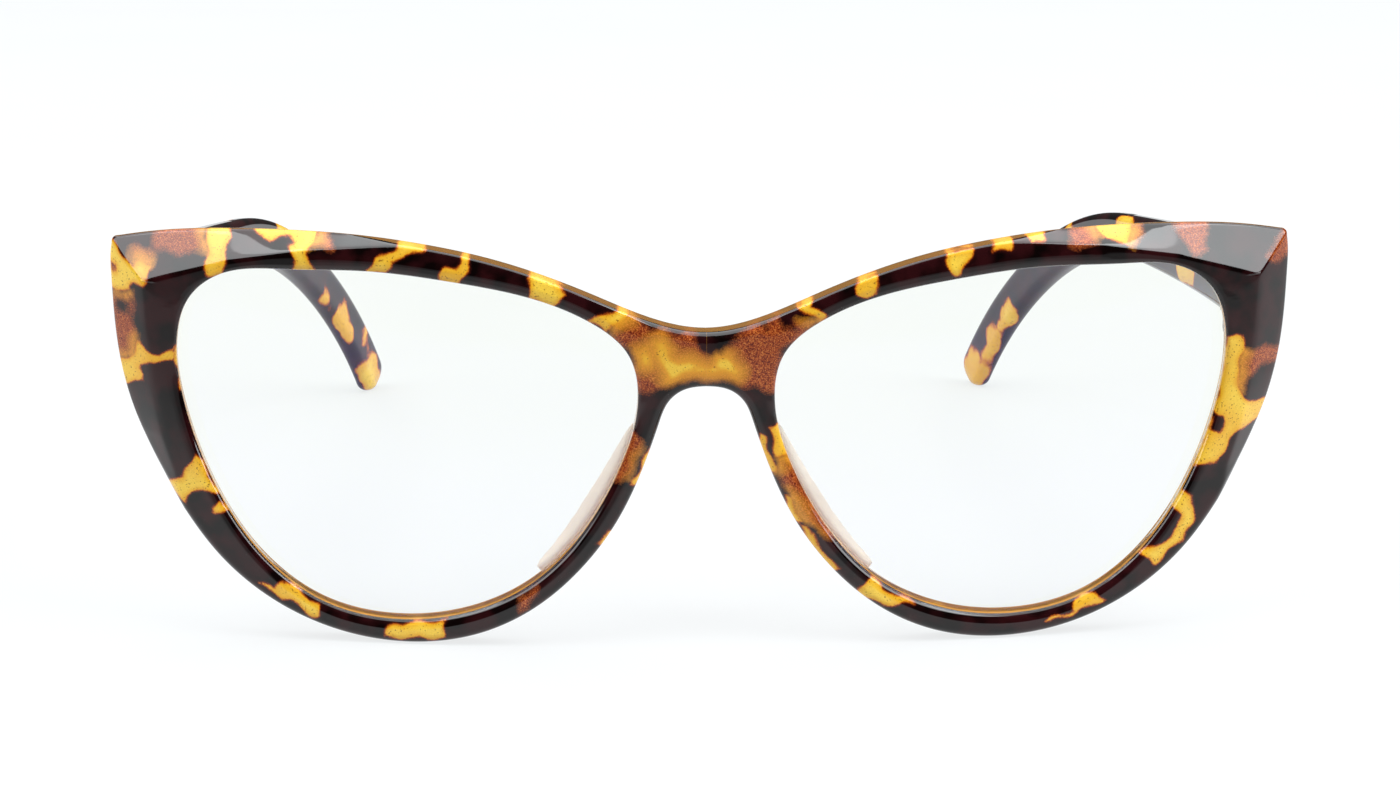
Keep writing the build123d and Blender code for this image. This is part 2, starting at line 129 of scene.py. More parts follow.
# ---------------------------------------------------------------- tortoiseshell patches, x and height
# Clear amber windows in the dark print, as corners of soft shapes. Negative x is the wearer's right.
AMBER = [
    [(-71.9, 48.3), (-70.8, 47.9), (-69.1, 45.8), (-67.0, 43.8), (-67.4, 43.0), (-68.6, 43.2),
     (-68.9, 42.4), (-71.9, 42.0)],
    [(-68.1, 36.2), (-67, 35.2), (-65.3, 34.7), (-63.6, 35.4), (-63.4, 34.1), (-67.1, 33.9),
     (-68.2, 32.9), (-67.6, 32), (-67.9, 31.2), (-69.5, 30.9), (-70.6, 30), (-71.4, 33.3), (-69, 34.2)],
    [(-67.6, 46.1), (-66, 45.8), (-67.1, 43.7), (-68.6, 44.7)],
    [(-63.9, 36), (-62.9, 36), (-62.4, 32), (-63, 30.6)],
    [(-59.4, 50.4), (-57.2, 50.4), (-56.4, 49), (-57.3, 46.8), (-57.3, 44.8), (-59.6, 44.8), (-59.4, 47)],
    [(-54.4, 50.8), (-45.7, 50.6), (-46.5, 49), (-47.2, 47.9), (-47.1, 46.7), (-46.3, 45.4), (-48.8, 45.4),
     (-48.9, 47.1), (-49.4, 48.4), (-48.6, 48.8), (-49.2, 49.3), (-50.8, 49.4), (-51.8, 49.1),
     (-53.3, 49.4)],
    [(-36.7, 49.8), (-33.2, 49.4), (-33.1, 48.8), (-35.1, 47.9), (-37, 47.2), (-38.1, 45.6), (-40.4, 45.6),
     (-39.2, 47.2), (-37.6, 47.9), (-36.6, 48.7)],
    [(-28.6, 48.6), (-27.5, 48.1), (-28.1, 46.4), (-29.4, 44.2), (-31.5, 44.6), (-31.1, 46.4), (-29.6, 46.6),
     (-28.7, 47.4)],
    [(-21, 46.3), (-18, 45.3), (-16.4, 43.2), (-18.5, 42), (-21.3, 42.8), (-20.6, 44.5)],
    [(-10.2, 41.8), (-8.7, 41.2), (-9.3, 40.4), (-11.5, 39.9), (-11.9, 38.9), (-14.2, 40.4), (-12.1, 40.9)],
    [(-6.4, 37.7), (-5.2, 37.7), (-3.9, 35.9), (-0.8, 35.1), (-0.8, 33.9), (-3.2, 33.7), (-4.6, 32.9),
     (-5.7, 35)],
    [(1.2, 35.9), (2.9, 35.9), (3.9, 34.4), (3.6, 33.6), (0.2, 33.9), (-3.2, 33.7), (-3.2, 34.7),
     (-1.7, 35.2), (0.5, 34.9)],
    [(-8.2, 36.2), (-7, 37.3), (-6.4, 36.4), (-6.6, 35), (-8, 35)],
    [(10.4, 41.8), (13.7, 43.6), (12.8, 42.2), (12.3, 41.7), (14.3, 40.8), (13.4, 40), (12.1, 40.8)],
    [(18.1, 45.3), (20.3, 45.3), (20.1, 44.5), (20.3, 43), (19.1, 42.9), (17.9, 43.2)],
    [(28.4, 47.8), (29, 48.2), (32.1, 48.1), (30.8, 46.4), (30.2, 45.3), (29.1, 45.4), (28.8, 46.2)],
    [(34.1, 49.6), (36.5, 49.8), (36.2, 47.9), (34.3, 48)],
    [(38.1, 50), (40.5, 50), (40.7, 49.1), (38.9, 48.5)],
    [(46.8, 50.5), (51.2, 50.5), (51, 47.8), (50, 48.1), (48.6, 49), (47.4, 49.4)],
    [(63.4, 36.1), (65.8, 36), (65.6, 34.2), (65.2, 32.2), (64.9, 30.9), (65.8, 28.4), (67.7, 27.4),
     (70.5, 27.4), (69.4, 24.9), (66.8, 24.9), (65, 24), (63.9, 22.3), (62.9, 20.8), (61.4, 20.1),
     (59.6, 20.2), (61.4, 24.5), (62.6, 28.5)],
    [(58, 17.4), (59.4, 16.7), (60.1, 15.1), (59.9, 13.3), (58.5, 11), (55, 8.2), (53, 9.5), (54.9, 10.4),
     (57, 11.2), (58.1, 12.6), (58.2, 14.2), (56.8, 15.2)],
    [(47.4, 5.2), (48.8, 4), (46.6, 3.2), (42.2, 1.7), (41.5, 1.9), (44.8, 2.9), (45.2, 4.2)],
    [(7.6, 27.4), (9, 27.6), (10, 23.5), (8.4, 23.5), (7.9, 25.6)],
    [(6.2, 26.4), (6.9, 26.2), (8.3, 21.9), (7.3, 21.8)],
    [(9.2, 18.7), (9.9, 18.6), (11.6, 15.7), (10.4, 15.6)],
    [(11, 15.4), (11.7, 15.1), (15.9, 9.4), (14.6, 9.2)],
    [(19.7, 8.4), (21.5, 6.8), (25.4, 4.9), (21.2, 4.8), (18, 6.4)],
    [(-61.6, 22.6), (-58.6, 18), (-60.1, 18.1), (-62.1, 18), (-63, 16.6), (-65.6, 18.4), (-63.3, 19.9),
     (-62.2, 21.7)],
    [(-58.8, 17.1), (-57.4, 15.7), (-59.6, 15.6)],
    [(-51.3, 7.5), (-46.5, 4.4), (-47.1, 2.9), (-48.2, 3.2), (-49.9, 4.7), (-51.7, 5.4), (-54.2, 6.9),
     (-52.1, 6.5)],
    [(-38, 2.5), (-31.3, 3), (-31.8, 0.8), (-39, 0.7)],
    [(-6.9, 24.8), (-8.9, 20.1), (-8, 20.1), (-6.2, 24.8)],
    [(-11.5, 14.8), (-13.1, 12.9), (-12.5, 12.4), (-10.9, 14.4)],
]
# Speckled brown windows, where the print is half as dense
BROWN = [
    [(-71.6, 42), (-68.6, 42.3), (-68.8, 37.8), (-68, 36), (-69, 34.3), (-71.4, 33.2)],
    [(-69.2, 47.4), (-65.8, 47.4), (-66, 45.6), (-68.3, 45.2)],
    [(-66, 50), (-59.4, 50.4), (-59.4, 47.4), (-62.5, 47.2), (-65.8, 47.2)],
    [(-45.8, 50.4), (-44.8, 50.2), (-44.3, 48.5), (-46.9, 48.4)],
    [(-8.9, 38.2), (-7.2, 39), (-6.8, 39.3), (-3, 38.6), (-1.7, 38.5), (1.7, 36.1), (3.6, 38.5), (6.4, 39.6),
     (9.6, 38.6), (8.8, 36), (8.3, 31.6), (4.8, 32.2), (3.4, 32.9), (-3.4, 32.9), (-5, 31.8), (-8.8, 31.8)],
    [(7, 40), (9, 40.8), (14, 40.2), (10.4, 37.5), (8.5, 36.2), (7, 37.2)],
    [(-11.6, 40.1), (-8.7, 40.9), (-6.8, 39.7), (-7, 37.9), (-8.8, 36.6), (-11, 37.8)],
    [(43.5, 50.4), (46.9, 50.4), (47.6, 49.2), (46.4, 48.1), (43.6, 48.2)],
    [(50.9, 50.4), (52.9, 50.4), (52.4, 48.8), (51.5, 47.8), (50.9, 47.9)],
    [(56.6, 50.4), (60.8, 50.4), (60.6, 46.6), (58.7, 46.5), (57.8, 47.8)],
    [(68.6, 45.5), (71.2, 49), (72, 47), (71.4, 45.4), (69.4, 44.6)],
    [(65.4, 34.6), (71.8, 34), (71.8, 32.6), (68.9, 32.1), (66.2, 31), (66, 29), (64.8, 30)],
    [(8.3, 23.6), (10.2, 23.6), (12, 19.4), (15.2, 14.8), (15, 13.4), (14, 13.6), (11.3, 15.9), (9.8, 18.5),
     (9.1, 20.5), (8.3, 21.8)],
    [(-9, 26.9), (-7.7, 26), (-7.8, 24.2), (-8.7, 22.4), (-9, 20.7), (-11.2, 21), (-9.9, 23.9)],
    [(-22.1, 6.5), (-20.2, 7.4), (-21.4, 5), (-22.8, 4.5)],
    [(-65.4, 49.4), (-63.4, 49.8), (-63.6, 47.6), (-65.6, 47.4)],
]
# Dark islands drawn over the windows
DARK = [
    [(-1.8, 39.6), (3.8, 39.6), (3.2, 38.4), (1.9, 36.9), (0.7, 36.1), (-0.7, 36.8), (-1.4, 38.2)],
    [(8.7, 41.2), (10.8, 41.6), (10.6, 39.2), (8.9, 39)],
    [(61.8, 26.9), (63.4, 26.4), (63.2, 24.3), (61.8, 24.4)],
    [(-70.8, 41.1), (-69.2, 41.3), (-69.3, 39.7), (-70.9, 39.5)],
    [(-71.6, 45.2), (-71.1, 45.4), (-70.9, 44.2), (-71.2, 44.2)],
]


# ---------------------------------------------------------------- curves
def spline(points, start=None, end=None, closed=False, steps=60):
    """A smooth curve through points, with set directions at its ends, as many close points."""
    p = np.array(points, float)
    if closed:
        p = np.vstack([p[-3:], p, p[:4]])
    gap = np.hypot(*np.diff(p, axis=0).T)
    n = len(p)
    system = np.zeros((n, n))
    right = np.zeros((n, 2))
    for i in range(1, n - 1):
        a, b = gap[i - 1], gap[i]
        system[i, i - 1:i + 2] = b, 2 * (a + b), a
        right[i] = 3 * (b / a * (p[i] - p[i - 1]) + a / b * (p[i + 1] - p[i]))
    for row, direction, run in ((0, start, 1), (n - 1, end, -1)):
        system[row, row] = 1
        if direction is not None:
            right[row] = np.array(direction) / np.hypot(*direction)
        else:
            system[row, row] = 2
            system[row, row + run] = 1
            span = gap[0] if run == 1 else gap[-1]
            right[row] = 3 * run * (p[row + run] - p[row]) / span
    slope = np.linalg.solve(system, right)
    t = np.linspace(0, 1, steps, endpoint=False)[:, None]
    pieces = []
    for i in range(n - 1):
        h = gap[i]
        pieces.append((2 * t**3 - 3 * t**2 + 1) * p[i] + (t**3 - 2 * t**2 + t) * h * slope[i]
                      + (3 * t**2 - 2 * t**3) * p[i + 1] + (t**3 - t**2) * h * slope[i + 1])
    if closed:
        return np.vstack(pieces[3:-3])
    return np.vstack(pieces + [p[-1:]])


def lengths(path):
    """The length along a path at each of its points."""
    return np.concatenate([[0], np.cumsum(np.hypot(*np.diff(path, axis=0).T))])


def point_at(path, along, where):
    """Points of a path at these lengths along it."""
    return np.stack([np.interp(where, along, path[:, 0]), np.interp(where, along, path[:, 1])], -1)


def distance_to(path, points):
    """The distance of each point from a path of short straight runs."""
    a = path[:-1]
    ab = np.diff(path, axis=0)
    size = np.maximum((ab**2).sum(1), 1e-12)
    best = np.full(len(points), 1e9)
    for first in range(0, len(points), 2000):
        block = points[first:first + 2000, None, :]
        t = np.clip(((block - a) * ab).sum(2) / size, 0, 1)
        away = block - a - t[..., None] * ab
        best[first:first + 2000] = np.sqrt((away**2).sum(2).min(1))
    return best


def inside(corners, points):
    """True for each point that lies inside a closed shape."""
    result = np.zeros(len(points), bool)
    x, z = points.T
    for (x0, z0), (x1, z1) in zip(corners, np.roll(corners, -1, axis=0)):
        crosses = (z0 > z) != (z1 > z)
        edge_x = x0 + (z - z0) * (x1 - x0) / (z1 - z0 if z1 != z0 else 1e-9)
        result ^= crosses & (x < edge_x)
    return result


def patch_depth(shapes, points):
    """How far each point lies inside the nearest shape, in mm; negative outside them all."""
    best = np.full(len(points), OUTSIDE)
    for shape in shapes:
        corners = np.array(shape, float)
        low, high = corners.min(0) - 3, corners.max(0) + 3
        near = np.all((points > low) & (points < high), axis=1)
        if near.any():
            there = points[near]
            away = distance_to(np.vstack([corners, corners[:1]]), there)
            best[near] = np.maximum(best[near], np.where(inside(corners, there), away, -away))
    return best


# ---------------------------------------------------------------- shape of the front
def wrap_depth(x):
    """How far back the wrapped front surface is at x."""
    return WRAP_RADIUS - np.sqrt(WRAP_RADIUS**2 - np.minimum(np.abs(x), 100)**2)


def column(table, where, index):
    """One column of a table, read between its rows."""
    rows = np.array(table, float)
    return np.interp(where, rows[:, 0], rows[:, index])


def soft_max(a, b, blend):
    """The larger of two depths, rounded where they meet."""
    return 0.5 * (a + b + np.sqrt((a - b)**2 + blend**2))


def facet_depth(x, z):
    """How far the brow and side facets lean back from the wrapped surface."""
    ridge, top = column(BROW_RIDGE, x, 1), column(BROW_RIDGE, x, 2)
    brow = FACET_DEPTH * (z - ridge) / np.maximum(top - ridge, 1.1)
    brow = np.where(x < BROW_START, NO_FACET, brow)
    crease, edge = column(SIDE_CREASE, z, 1), column(SIDE_CREASE, z, 2)
    side = FACET_DEPTH * (x - crease) / np.maximum(edge - crease, 2.6)
    side = np.where(z < SIDE_START, NO_FACET, side)
    lean = soft_max(np.maximum(brow, NO_FACET), np.maximum(side, NO_FACET), 0.22)
    lean = soft_max(lean, 0.0, 0.3)
    return np.clip(np.where(lean < 0.012, 0.0, lean), 0, FACET_DEPTH)


def outline_loop():
    """The outline of one half, anticlockwise from under the bridge, and the same closed along the middle."""
    top = spline(TOP_EDGE, start=(1, 0), end=(1, -0.2))
    side = spline(OUTER_EDGE, start=(0.2, -1), end=(-1, 0))
    corner = spline(CORNER_ROUND, start=(1, -0.2), end=(0.05, -1), steps=12)
    rim = np.vstack([top[:-1], corner[:-1], side])[::-1]
    middle = np.linspace((0, 38.75), (0, 32.15), 40)[1:]
    return rim, np.vstack([rim, middle])


def nearest(path, point):
    """The index of the path's point that is closest to this one."""
    return int(np.argmin(np.hypot(*(path - np.array(point, float)).T)))


def stations():
    """Matching points on the opening and the outline, once round one half."""
    opening = spline(OPENING, closed=True)
    _, loop = outline_loop()
    first = nearest(opening, STATION_KEYS[0][0])
    opening = np.roll(opening, -first, axis=0)
    opening = np.vstack([opening, opening[:1]])
    in_length, out_length = lengths(opening), lengths(loop)
    in_keys = [in_length[nearest(opening[:-1], k[0])] for k in STATION_KEYS] + [in_length[-1]]
    out_keys = [out_length[nearest(loop, k[1])] for k in STATION_KEYS] + [out_length[-1]]
    in_at, out_at = [], []
    for i in range(len(STATION_KEYS)):
        spacing = CORNER_SPACING if i in CORNER_STATIONS else STATION_SPACING
        span = max(out_keys[i + 1] - out_keys[i], in_keys[i + 1] - in_keys[i])
        count = max(3, int(np.ceil(span / spacing)))
        part = np.arange(count) / count
        if i == len(STATION_KEYS) - 1:
            part = 0.5 - 0.5 * np.cos(pi * part)
        in_at.append(in_keys[i] + part * (in_keys[i + 1] - in_keys[i]))
        out_at.append(out_keys[i] + part * (out_keys[i + 1] - out_keys[i]))
    inner = point_at(opening, in_length, np.concatenate(in_at))
    outer = point_at(loop, out_length, np.concatenate(out_at))
    outer[np.abs(outer[:, 0]) < 1e-6, 0] = 0.0
    return inner, outer


def ridge_points(inner, outer):
    """The point of each station's line where the facet ridge crosses it."""
    ridge = outer + 0.42 * (inner - outer)
    x, z = outer.T
    on_top = (z > 48.2) | ((x < 60) & (z > 38))
    brow_scale = (RIDGE_CORNER[0] - BROW_START) / (OUTLINE_CORNER[0] - BROW_START)
    brow_x = BROW_START + (x - BROW_START) * brow_scale
    brow = np.stack([brow_x, np.minimum(column(BROW_RIDGE, brow_x, 1), z - 0.5)], -1)
    share = np.clip((x - 33) / 6, 0, 1) * on_top
    ridge += share[:, None] * (brow - ridge)
    side_scale = (RIDGE_CORNER[1] - SIDE_START) / (OUTLINE_CORNER[1] - SIDE_START)
    side_z = SIDE_START + (z - SIDE_START) * side_scale
    side = np.stack([np.minimum(column(SIDE_CREASE, side_z, 1), x - 0.5), side_z], -1)
    share = np.clip((z - 17) / 4, 0, 1) * (x > 55) * ~on_top
    return ridge + share[:, None] * (side - ridge)


def along_line(outer, ridge, inner, run):
    """Points at these distances from the outline along each station's bent line."""
    first = np.hypot(*(ridge - outer).T)[:, None]
    second = np.hypot(*(inner - ridge).T)[:, None]
    t = np.clip(run / first, 0, 1)[..., None]
    u = np.clip((run - first) / second, 0, 1)[..., None]
    return outer[:, None] + t * (ridge - outer)[:, None] + u * (inner - ridge)[:, None]


def rounding(radius, away):
    """How far a round edge has dropped at this distance from the edge."""
    short = np.clip(radius - away, 0, radius)
    return radius - np.sqrt(radius**2 - short**2)


def front_runs(first, whole, edge_round):
    """Distances from the outline of the points across the front of each station."""
    half_zone = np.minimum(RIDGE_ZONE, 0.3 * np.minimum(first, whole - first))
    quarter = np.radians([90, 75, 60, 45, 30, 15, 0])
    edge_run = np.minimum(edge_round, first - half_zone - 0.05)[:, None] * (1 - np.sin(quarter))
    start, stop = edge_run[:, -1:], (first - half_zone)[:, None]
    facet_run = start + (stop - start) * np.linspace(0, 1, 7)[1:-1]
    ridge_run = first[:, None] + half_zone[:, None] * np.array([-1, -0.6, -0.3, 0, 0.3, 0.6, 1])
    start, stop = (first + half_zone)[:, None], (whole - LENS_BEVEL)[:, None]
    face_run = start + (stop - start) * np.linspace(0, 1, 9)[1:]
    bevel_run = whole[:, None] - LENS_BEVEL * (1 - np.sin(TURNS[1:]))
    return np.hstack([edge_run, facet_run, ridge_run, face_run, bevel_run])


def front_depths(flat, to_lens, outer, rim, radius, top_share):
    """How far back the points across the front lie, with facets, bands beside the lens and round edges."""
    x, z = outer.T
    spots = flat.reshape(-1, 2)
    away = distance_to(rim[::3], spots).reshape(to_lens.shape)
    depth = facet_depth(flat[..., 0], flat[..., 1]) + rounding(radius, away)
    opening = spline(OPENING, closed=True)
    from_lens = distance_to(opening[::6], spots).reshape(to_lens.shape)
    above = from_lens - TOP_CREASE
    top_band = TOP_LEAN * soft_max(above, 0.0, BAND_BLEND) + TOP_TUCK * soft_max(-above, 0.0, BAND_BLEND)
    low_band = LOW_LEAN * soft_max(LOW_CREASE - from_lens, 0.0, 0.1)
    low_share = np.clip((37 - z) / 4, 0, 1) * np.clip((x - 3) / 2, 0, 1)
    depth += top_share[:, None] * top_band + low_share[:, None] * low_band
    return depth + rounding(LENS_BEVEL, to_lens)


def back_section(inner, outer, ridge, whole, rim):
    """The points across the back of each station, from the lens outwards, and their depths."""
    x, z = outer.T
    in_block = np.clip((x - 62) / 4, 0, 1) * np.clip((z - 32.4) / 1.5, 0, 1)
    in_block *= np.clip((46.4 - z) / 1.5, 0, 1)
    radius = (BACK_ROUND * (1 - in_block) + 0.02)[:, None]
    out_run = radius * (1 - np.sin(TURNS[::-1]))
    in_run = whole[:, None] - BACK_BEVEL * (1 - np.sin(TURNS))
    start, stop = out_run[:, -1:], in_run[:, :1]
    middle_run = start + (stop - start) * np.linspace(0, 1, 8)[1:-1]
    run = np.hstack([out_run, middle_run, in_run])[:, ::-1]
    flat = along_line(outer, ridge, inner, run)
    away = distance_to(rim[::3], flat.reshape(-1, 2)).reshape(run.shape)
    depth = THICKNESS - rounding(radius, away) - rounding(BACK_BEVEL, whole[:, None] - run)
    return flat, depth


def front_half():
    """Rings of points round the section of one half, their depths, the index where the outer wall
    begins, and how much each point of a ring takes the clear amber edge colour of the plastic, lightened
    there as painted light."""
    inner, outer = stations()
    ridge = ridge_points(inner, outer)
    rim, _ = outline_loop()
    x, z = outer.T
    first = np.hypot(*(ridge - outer).T)
    whole = first + np.hypot(*(inner - ridge).T)
    lean = facet_depth(x, z) / FACET_DEPTH
    bridge = np.clip((7 - x) / 5, 0, 1) * (z < 36)
    top_share = np.clip((x - 4) / 5, 0, 1) * np.clip((56 - x) / 14, 0, 1) * (z > 38)
    edge_round = (1.15 - 0.85 * lean) * (1 - bridge) * (1 - 0.65 * top_share) + 1.0 * bridge
    run = front_runs(first, whole, edge_round)
    flat = along_line(outer, ridge, inner, run)
    depth = front_depths(flat, whole[:, None] - run, outer, rim, edge_round[:, None], top_share)
    back_flat, back_depth = back_section(inner, outer, ridge, whole, rim)

    wall_steps = np.linspace(0, 1, 4)[1:-1]
    inner_wall = depth[:, -1:] + (back_depth[:, :1] - depth[:, -1:]) * wall_steps
    outer_wall = back_depth[:, -1:] + (depth[:, :1] - back_depth[:, -1:]) * wall_steps
    ring = np.concatenate([flat, np.repeat(flat[:, -1:], 2, 1), back_flat, np.repeat(flat[:, :1], 2, 1)], 1)
    depths = np.hstack([depth, inner_wall, back_depth, outer_wall])
    inner_from = flat.shape[1]
    outer_from = inner_from + 2 + back_flat.shape[1] - 1
    wall = np.zeros(depths.shape[1])
    wall[inner_from - 1:inner_from + 6] = 1
    wall[outer_from - 3:] = OUTER_WALL_AMBER_GLOW_SHARE
    wall[0] = OUTER_EDGE_AMBER_GLOW_SHARE
    return ring, depths, outer_from, wall


def mesh_object(name, points, faces, material):
    """A smooth-shaded mesh object from points in mm."""
    mesh = bpy.data.meshes.new(name)
    mesh.from_pydata((np.asarray(points) * MM).tolist(), [], faces)
    mesh.materials.append(material)
    mesh.shade_smooth()
    thing = bpy.data.objects.new(name, mesh)
    bpy.context.scene.collection.objects.link(thing)
    return thing


def boxed(points):
    """Points in mm, held inside the CAD model's own bounding box."""
    low, high = np.array(cad_bounds) / MM
    return np.clip(points, low, high)


def tidy_mesh(thing, merge=1e-7):
    """Merges points this close, if at all, drops loose ones and turns every face outwards."""
    work = bmesh.new()
    work.from_mesh(thing.data)
    if merge:
        bmesh.ops.remove_doubles(work, verts=work.verts, dist=merge)
    loose = [v for v in work.verts if not v.link_faces]
    bmesh.ops.delete(work, geom=loose, context="VERTS")
    bmesh.ops.recalc_face_normals(work, faces=work.faces)
    work.to_mesh(thing.data)
    work.free()
    thing.data.shade_smooth()


def keep_crisp(thing, degrees):
    """Keeps edges sharper than this angle crisp in the shading."""
    thing.data.set_sharp_from_angle(angle=radians(degrees))


def vertex_field(thing, name, values):
    """Stores one number per point for the material to read."""
    layer = thing.data.attributes.new(name, "FLOAT", "POINT")
    layer.data.foreach_set("value", np.asarray(values, np.float32))


def points_of(thing):
    """The object's points in mm."""
    flat = np.zeros(len(thing.data.vertices) * 3)
    thing.data.vertices.foreach_get("co", flat)
    return flat.reshape(-1, 3) / MM


def wavy(points):
    """Bends the patches' straight sides."""
    x, z = points.T
    return np.stack([x + 0.22 * np.sin(1.9 * z + 0.7 * x), z + 0.22 * np.sin(1.7 * x + 1.3)], -1)


def make_front(material):
    """The whole front as one closed mesh."""
    ring, depths, wall_from, wall = front_half()
    count, width = depths.shape
    on_middle = ring[:, 0, 0] < 1e-6
    points, faces = [], []
    for side in (1, -1):
        base = len(points) * count * width
        x = side * ring[..., 0]
        y = FRONT_Y + wrap_depth(x) + depths
        points.append(np.stack([x, y, ring[..., 1]], -1).reshape(-1, 3))
        for s in range(count):
            after = (s + 1) % count
            for p in range(width):
                if on_middle[s] and on_middle[after] and p >= wall_from:
                    continue
                q = (p + 1) % width
                faces.append((base + s * width + p, base + after * width + p,
                              base + after * width + q, base + s * width + q))
    front = mesh_object("front", boxed(np.vstack(points)), faces, material)
    vertex_field(front, "wall", np.tile(wall, 2 * count))
    tidy_mesh(front, 2e-7)
    flat = points_of(front)[:, [0, 2]]
    bent = wavy(flat)
    off_dark = -patch_depth(DARK, bent)
    vertex_field(front, "amber", np.minimum(patch_depth(AMBER, bent), off_dark))
    vertex_field(front, "brown", np.minimum(patch_depth(BROWN, bent), off_dark))
    return front


# ---------------------------------------------------------------- lofted pieces
def loft(rings, close_ends=True):
    """Points and faces of a tube through rings of equal length."""
    count, width = len(rings), len(rings[0])
    points = [p for ring in rings for p in ring]
    faces = []
    for r in range(count - 1):
        for p in range(width):
            q = (p + 1) % width
            faces.append((r * width + p, r * width + q, (r + 1) * width + q, (r + 1) * width + p))
    if close_ends:
        faces.append(tuple(range(width)))
        faces.append(tuple((count - 1) * width + p for p in range(width)))
    return points, faces


def rounded_rectangle(half_u, half_v, radius, corner_steps=5, side_steps=4):
    """A closed loop of (u, v) points round a rectangle with round corners."""
    radius = min(radius, half_u * 0.98, half_v * 0.98)
    loop = []
    for turn, (su, sv) in enumerate([(1, 1), (-1, 1), (-1, -1), (1, -1)]):
        for step in range(corner_steps + 1):
            angle = (turn + step / corner_steps) * pi / 2
            loop.append((su * (half_u - radius) + radius * cos(angle),
                         sv * (half_v - radius) + radius * sin(angle)))
        u0, v0 = loop[-1]
        nu, nv = [(-1, 1), (-1, -1), (1, -1), (1, 1)][turn]
        angle = (turn + 1) * pi / 2
        u1 = nu * (half_u - radius) + radius * cos(angle)
        v1 = nv * (half_v - radius) + radius * sin(angle)
        for step in range(1, side_steps):
            t = step / side_steps
            loop.append((u0 + t * (u1 - u0), v0 + t * (v1 - v0)))
    return loop


END_BOTTOM, END_TOP = 33.6, 45.2
END_INNER, END_NOTCH = 64.3, 67.65
END_HALF_WIDTH = 3.6
END_ROUND = 1.9
BLOCK_START = 3.4                  # depth of the hidden front end of the block behind the wrap
# Sections of the block from front to back: depth, x of the inner side, how much smaller it is.
# The first has no depth of its own and follows the wrap.
END_SECTIONS = [
    (None, END_INNER, 0.0), (17.6, END_INNER, 0.0), (17.95, END_INNER, 0.1), (18.15, END_INNER, 0.3),
    (18.2, END_INNER, 0.55), (18.2, END_NOTCH, 0.3), (18.25, END_NOTCH, 0.05), (19.4, END_NOTCH, 0.0),
    (19.7, END_NOTCH, 0.08), (19.88, END_NOTCH, 0.25), (19.93, END_NOTCH, 0.5),
]


def make_end_piece(name, side, material):
    """The block behind an upper corner that carries the hinge."""
    rim, _ = outline_loop()
    lower = rim[rim[:, 1] < 47.5]
    lower = lower[lower[:, 0] > 60]
    order = np.argsort(lower[:, 1])
    rings = []
    middle_z = (END_TOP + END_BOTTOM) / 2
    for depth, inner_x, shrink in END_SECTIONS:
        ring = []
        half_v = (END_TOP - END_BOTTOM) / 2 - shrink
        loop = rounded_rectangle(END_HALF_WIDTH, half_v, END_ROUND, 6, 5)
        for u, v in loop:
            z = middle_z + v
            outer_x = np.interp(z, lower[order, 1], lower[order, 0]) - 0.03 - shrink
            low_x = inner_x + shrink * 0.6
            x = low_x + (outer_x - low_x) * (u + END_HALF_WIDTH) / (2 * END_HALF_WIDTH)
            ring.append((side * x, FRONT_Y + (depth or wrap_depth(x) + BLOCK_START), z))
        rings.append(ring)
    points, faces = loft(rings)
    block = mesh_object(name, points, faces, material)
    tidy_mesh(block)
    return block


BUTT_HEIGHT, TIP_HEIGHT = 11.0, 6.0
HINGE_Z, JOINT_DEPTH = 39.4, 20.0
TEMPLE_SLOPE = radians(4.6)
BEND_DEPTH, BEND_RADIUS = 84.0, 76.0
TIP_SLOPE = radians(54.4)
TEMPLE_SWEEP = [                   # depth, x of the temple's middle line, its thickness there
    (16, 69.5, 3.8), (40, 69.3, 3.8), (60, 67.75, 3.7), (81, 64.7, 3.5), (101, 60.2, 3.2),
    (120, 54.9, 2.9), (135, 49.9, 2.65), (146, 46.0, 2.5),
]
EDGE_ROUND = 1.25
TEMPLE_STRAIGHT = (BEND_DEPTH - JOINT_DEPTH) / cos(TEMPLE_SLOPE)
TEMPLE_RUN = TEMPLE_STRAIGHT + (TIP_SLOPE - TEMPLE_SLOPE) * BEND_RADIUS
TIP_REACH = TIP_HEIGHT / 2 * 0.9
BUTT_ROUND_RUN = 0.5               # the butt's edges are rounded over this length
TIP_ANGLES = (8, 16, 24, 32, 40, 48, 56, 64, 71, 77, 82, 86)


def temple_middle(run):
    """Depth, height and downward slope of the temple's middle line at a distance from the hinge."""
    if run < TEMPLE_STRAIGHT:
        return JOINT_DEPTH + run * cos(TEMPLE_SLOPE), HINGE_Z - run * sin(TEMPLE_SLOPE), TEMPLE_SLOPE
    angle = TEMPLE_SLOPE + (run - TEMPLE_STRAIGHT) / BEND_RADIUS
    depth = BEND_DEPTH + BEND_RADIUS * (sin(angle) - sin(TEMPLE_SLOPE))
    fall = BEND_RADIUS * (cos(TEMPLE_SLOPE) - cos(angle))
    height = HINGE_Z - TEMPLE_STRAIGHT * sin(TEMPLE_SLOPE) - fall
    return depth, height, angle


def temple_runs():
    """Distances from the hinge of a temple's rings, closer together round the tip."""
    runs = list(np.linspace(0.08, TEMPLE_STRAIGHT, 70))
    runs += list(np.linspace(TEMPLE_STRAIGHT, TEMPLE_RUN, 90))[1:]
    return runs + [TEMPLE_RUN + TIP_REACH * sin(radians(a)) for a in TIP_ANGLES]


def spot_field(marks, spots):
    """How far each point lies inside the nearest amber spot of a temple, in mm."""
    mark = np.array(marks)
    field = np.full(len(mark), OUTSIDE)
    for from_tip, half_run, across, half_across, height, half_height in spots:
        size = min(half_run, half_across, half_height)
        away = np.sqrt(((mark[:, 0] - from_tip) / half_run)**2 + ((mark[:, 1] - across) / half_across)**2
                       + ((mark[:, 2] - height) / half_height)**2)
        field = np.maximum(field, (1 - away) * size)
    return field


